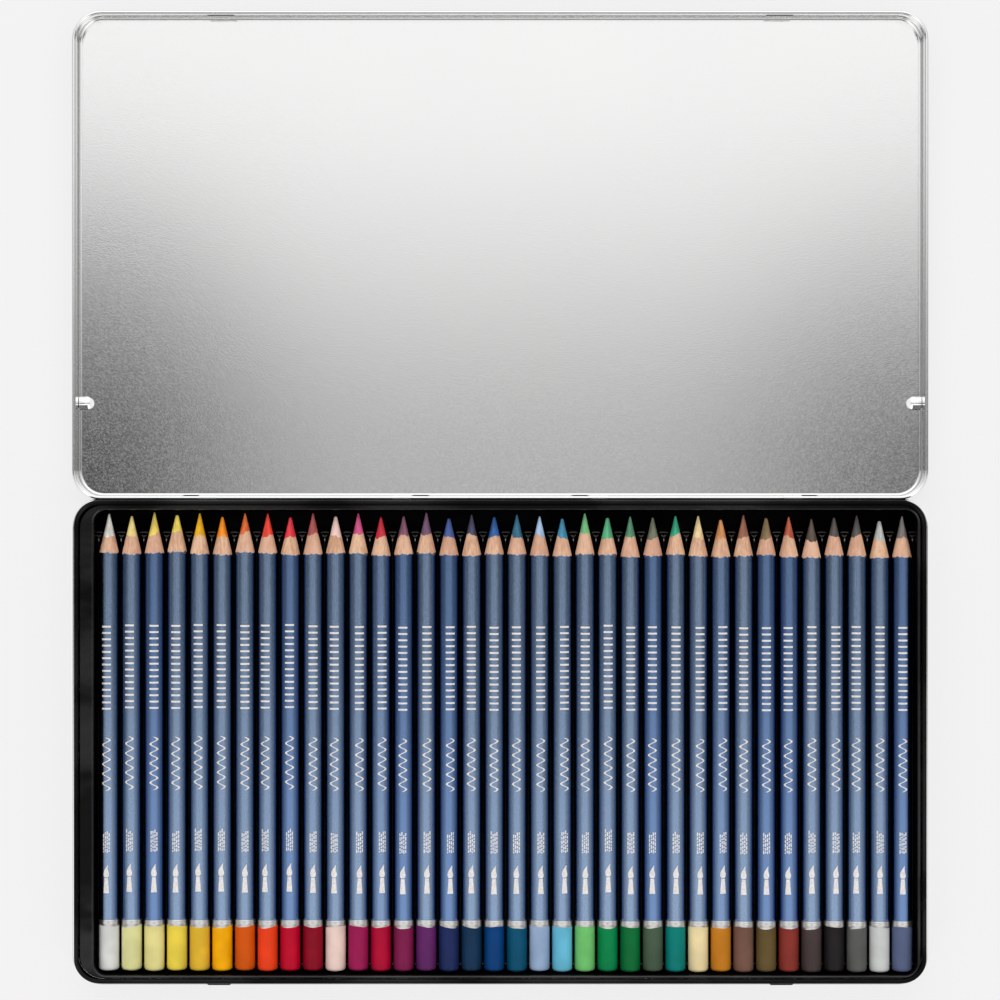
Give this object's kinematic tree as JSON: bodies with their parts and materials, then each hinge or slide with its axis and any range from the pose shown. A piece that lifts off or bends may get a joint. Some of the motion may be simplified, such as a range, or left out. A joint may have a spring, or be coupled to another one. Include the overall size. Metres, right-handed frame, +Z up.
{
  "type": "pencil tin",
  "caption": "Flat hinged metal tin, open, with a row of sharpened coloured pencils lying in a grooved black insert.",
  "frame": {"origin": "centre of the tray's underside", "axes": "+X across the pencils, +Y along the pencils towards the hinge, +Z up; the lid lies open behind the tray"},
  "size_m": [0.3242, 0.3688, 0.0142],
  "materials": {
    "tray_tin": "tinplate, bare outside, satin black lacquer inside and over the rim",
    "lid_tin": "bare tinplate with a fine stone grain",
    "insert_plastic": "thermoformed black sheet, satin",
    "barrel_lacquer": "metallic blue lacquer on cedar",
    "cedar": "freshly cut cedar",
    "foil": "hot-stamped silver foil",
    "colour_01": "white: glossy dip, matt lead",
    "colour_02": "cream yellow: glossy dip, matt lead",
    "colour_03": "straw yellow: glossy dip, matt lead",
    "colour_04": "lemon yellow: glossy dip, matt lead",
    "colour_05": "golden yellow: glossy dip, matt lead",
    "colour_06": "saffron: glossy dip, matt lead",
    "colour_07": "orange: glossy dip, matt lead",
    "colour_08": "vermilion: glossy dip, matt lead",
    "colour_09": "crimson: glossy dip, matt lead",
    "colour_10": "madder: glossy dip, matt lead",
    "colour_11": "flesh pink: glossy dip, matt lead",
    "colour_12": "fuchsia: glossy dip, matt lead",
    "colour_13": "carmine: glossy dip, matt lead",
    "colour_14": "mauve: glossy dip, matt lead",
    "colour_15": "violet: glossy dip, matt lead",
    "colour_16": "ultramarine: glossy dip, matt lead",
    "colour_17": "indigo: glossy dip, matt lead",
    "colour_18": "prussian blue: glossy dip, matt lead",
    "colour_19": "petrol: glossy dip, matt lead",
    "colour_20": "lavender: glossy dip, matt lead",
    "colour_21": "sky blue: glossy dip, matt lead",
    "colour_22": "may green: glossy dip, matt lead",
    "colour_23": "green: glossy dip, matt lead",
    "colour_24": "fir green: glossy dip, matt lead",
    "colour_25": "grey green: glossy dip, matt lead",
    "colour_26": "viridian: glossy dip, matt lead",
    "colour_27": "naples yellow: glossy dip, matt lead",
    "colour_28": "ochre: glossy dip, matt lead",
    "colour_29": "umber: glossy dip, matt lead",
    "colour_30": "olive brown: glossy dip, matt lead",
    "colour_31": "sienna: glossy dip, matt lead",
    "colour_32": "sepia: glossy dip, matt lead",
    "colour_33": "black: glossy dip, matt lead",
    "colour_34": "dark grey: glossy dip, matt lead",
    "colour_35": "silver grey: glossy dip, matt lead",
    "colour_36": "blue grey: glossy dip, matt lead"
  },
  "bodies": {
    "tray": {"tray_shell": "tray_tin"},
    "lid": {"lid_shell": "lid_tin"},
    "insert": {"insert_tray": "insert_plastic"},
    "pencil_01": {"pencil_01": "barrel_lacquer"},
    "pencil_02": {"pencil_02": "barrel_lacquer"},
    "pencil_03": {"pencil_03": "barrel_lacquer"},
    "pencil_04": {"pencil_04": "barrel_lacquer"},
    "pencil_05": {"pencil_05": "barrel_lacquer"},
    "pencil_06": {"pencil_06": "barrel_lacquer"},
    "pencil_07": {"pencil_07": "barrel_lacquer"},
    "pencil_08": {"pencil_08": "barrel_lacquer"},
    "pencil_09": {"pencil_09": "barrel_lacquer"},
    "pencil_10": {"pencil_10": "barrel_lacquer"},
    "pencil_11": {"pencil_11": "barrel_lacquer"},
    "pencil_12": {"pencil_12": "barrel_lacquer"},
    "pencil_13": {"pencil_13": "barrel_lacquer"},
    "pencil_14": {"pencil_14": "barrel_lacquer"},
    "pencil_15": {"pencil_15": "barrel_lacquer"},
    "pencil_16": {"pencil_16": "barrel_lacquer"},
    "pencil_17": {"pencil_17": "barrel_lacquer"},
    "pencil_18": {"pencil_18": "barrel_lacquer"},
    "pencil_19": {"pencil_19": "barrel_lacquer"},
    "pencil_20": {"pencil_20": "barrel_lacquer"},
    "pencil_21": {"pencil_21": "barrel_lacquer"},
    "pencil_22": {"pencil_22": "barrel_lacquer"},
    "pencil_23": {"pencil_23": "barrel_lacquer"},
    "pencil_24": {"pencil_24": "barrel_lacquer"},
    "pencil_25": {"pencil_25": "barrel_lacquer"},
    "pencil_26": {"pencil_26": "barrel_lacquer"},
    "pencil_27": {"pencil_27": "barrel_lacquer"},
    "pencil_28": {"pencil_28": "barrel_lacquer"},
    "pencil_29": {"pencil_29": "barrel_lacquer"},
    "pencil_30": {"pencil_30": "barrel_lacquer"},
    "pencil_31": {"pencil_31": "barrel_lacquer"},
    "pencil_32": {"pencil_32": "barrel_lacquer"},
    "pencil_33": {"pencil_33": "barrel_lacquer"},
    "pencil_34": {"pencil_34": "barrel_lacquer"},
    "pencil_35": {"pencil_35": "barrel_lacquer"},
    "pencil_36": {"pencil_36": "barrel_lacquer"}
  },
  "joints": [
    {"name": "lid_hinge", "type": "hinge", "parent": "tray", "child": "lid", "pos_m": [0, 0.09185, 0.008], "axis": [1, 0, 0], "range_deg": [0, 180]},
    {"name": "insert_lift", "type": "slide", "parent": "tray", "child": "insert", "axis": [0, 0, -1], "range_m": [-0.03, 0]},
    {"name": "pencil_01_lift", "type": "slide", "parent": "insert", "child": "pencil_01", "axis": [0, 0, -1], "range_m": [-0.02, 0]},
    {"name": "pencil_02_lift", "type": "slide", "parent": "insert", "child": "pencil_02", "axis": [0, 0, -1], "range_m": [-0.02, 0]},
    {"name": "pencil_03_lift", "type": "slide", "parent": "insert", "child": "pencil_03", "axis": [0, 0, -1], "range_m": [-0.02, 0]},
    {"name": "pencil_04_lift", "type": "slide", "parent": "insert", "child": "pencil_04", "axis": [0, 0, -1], "range_m": [-0.02, 0]},
    {"name": "pencil_05_lift", "type": "slide", "parent": "insert", "child": "pencil_05", "axis": [0, 0, -1], "range_m": [-0.02, 0]},
    {"name": "pencil_06_lift", "type": "slide", "parent": "insert", "child": "pencil_06", "axis": [0, 0, -1], "range_m": [-0.02, 0]},
    {"name": "pencil_07_lift", "type": "slide", "parent": "insert", "child": "pencil_07", "axis": [0, 0, -1], "range_m": [-0.02, 0]},
    {"name": "pencil_08_lift", "type": "slide", "parent": "insert", "child": "pencil_08", "axis": [0, 0, -1], "range_m": [-0.02, 0]},
    {"name": "pencil_09_lift", "type": "slide", "parent": "insert", "child": "pencil_09", "axis": [0, 0, -1], "range_m": [-0.02, 0]},
    {"name": "pencil_10_lift", "type": "slide", "parent": "insert", "child": "pencil_10", "axis": [0, 0, -1], "range_m": [-0.02, 0]},
    {"name": "pencil_11_lift", "type": "slide", "parent": "insert", "child": "pencil_11", "axis": [0, 0, -1], "range_m": [-0.02, 0]},
    {"name": "pencil_12_lift", "type": "slide", "parent": "insert", "child": "pencil_12", "axis": [0, 0, -1], "range_m": [-0.02, 0]},
    {"name": "pencil_13_lift", "type": "slide", "parent": "insert", "child": "pencil_13", "axis": [0, 0, -1], "range_m": [-0.02, 0]},
    {"name": "pencil_14_lift", "type": "slide", "parent": "insert", "child": "pencil_14", "axis": [0, 0, -1], "range_m": [-0.02, 0]},
    {"name": "pencil_15_lift", "type": "slide", "parent": "insert", "child": "pencil_15", "axis": [0, 0, -1], "range_m": [-0.02, 0]},
    {"name": "pencil_16_lift", "type": "slide", "parent": "insert", "child": "pencil_16", "axis": [0, 0, -1], "range_m": [-0.02, 0]},
    {"name": "pencil_17_lift", "type": "slide", "parent": "insert", "child": "pencil_17", "axis": [0, 0, -1], "range_m": [-0.02, 0]},
    {"name": "pencil_18_lift", "type": "slide", "parent": "insert", "child": "pencil_18", "axis": [0, 0, -1], "range_m": [-0.02, 0]},
    {"name": "pencil_19_lift", "type": "slide", "parent": "insert", "child": "pencil_19", "axis": [0, 0, -1], "range_m": [-0.02, 0]},
    {"name": "pencil_20_lift", "type": "slide", "parent": "insert", "child": "pencil_20", "axis": [0, 0, -1], "range_m": [-0.02, 0]},
    {"name": "pencil_21_lift", "type": "slide", "parent": "insert", "child": "pencil_21", "axis": [0, 0, -1], "range_m": [-0.02, 0]},
    {"name": "pencil_22_lift", "type": "slide", "parent": "insert", "child": "pencil_22", "axis": [0, 0, -1], "range_m": [-0.02, 0]},
    {"name": "pencil_23_lift", "type": "slide", "parent": "insert", "child": "pencil_23", "axis": [0, 0, -1], "range_m": [-0.02, 0]},
    {"name": "pencil_24_lift", "type": "slide", "parent": "insert", "child": "pencil_24", "axis": [0, 0, -1], "range_m": [-0.02, 0]},
    {"name": "pencil_25_lift", "type": "slide", "parent": "insert", "child": "pencil_25", "axis": [0, 0, -1], "range_m": [-0.02, 0]},
    {"name": "pencil_26_lift", "type": "slide", "parent": "insert", "child": "pencil_26", "axis": [0, 0, -1], "range_m": [-0.02, 0]},
    {"name": "pencil_27_lift", "type": "slide", "parent": "insert", "child": "pencil_27", "axis": [0, 0, -1], "range_m": [-0.02, 0]},
    {"name": "pencil_28_lift", "type": "slide", "parent": "insert", "child": "pencil_28", "axis": [0, 0, -1], "range_m": [-0.02, 0]},
    {"name": "pencil_29_lift", "type": "slide", "parent": "insert", "child": "pencil_29", "axis": [0, 0, -1], "range_m": [-0.02, 0]},
    {"name": "pencil_30_lift", "type": "slide", "parent": "insert", "child": "pencil_30", "axis": [0, 0, -1], "range_m": [-0.02, 0]},
    {"name": "pencil_31_lift", "type": "slide", "parent": "insert", "child": "pencil_31", "axis": [0, 0, -1], "range_m": [-0.02, 0]},
    {"name": "pencil_32_lift", "type": "slide", "parent": "insert", "child": "pencil_32", "axis": [0, 0, -1], "range_m": [-0.02, 0]},
    {"name": "pencil_33_lift", "type": "slide", "parent": "insert", "child": "pencil_33", "axis": [0, 0, -1], "range_m": [-0.02, 0]},
    {"name": "pencil_34_lift", "type": "slide", "parent": "insert", "child": "pencil_34", "axis": [0, 0, -1], "range_m": [-0.02, 0]},
    {"name": "pencil_35_lift", "type": "slide", "parent": "insert", "child": "pencil_35", "axis": [0, 0, -1], "range_m": [-0.02, 0]},
    {"name": "pencil_36_lift", "type": "slide", "parent": "insert", "child": "pencil_36", "axis": [0, 0, -1], "range_m": [-0.02, 0]}
  ]
}
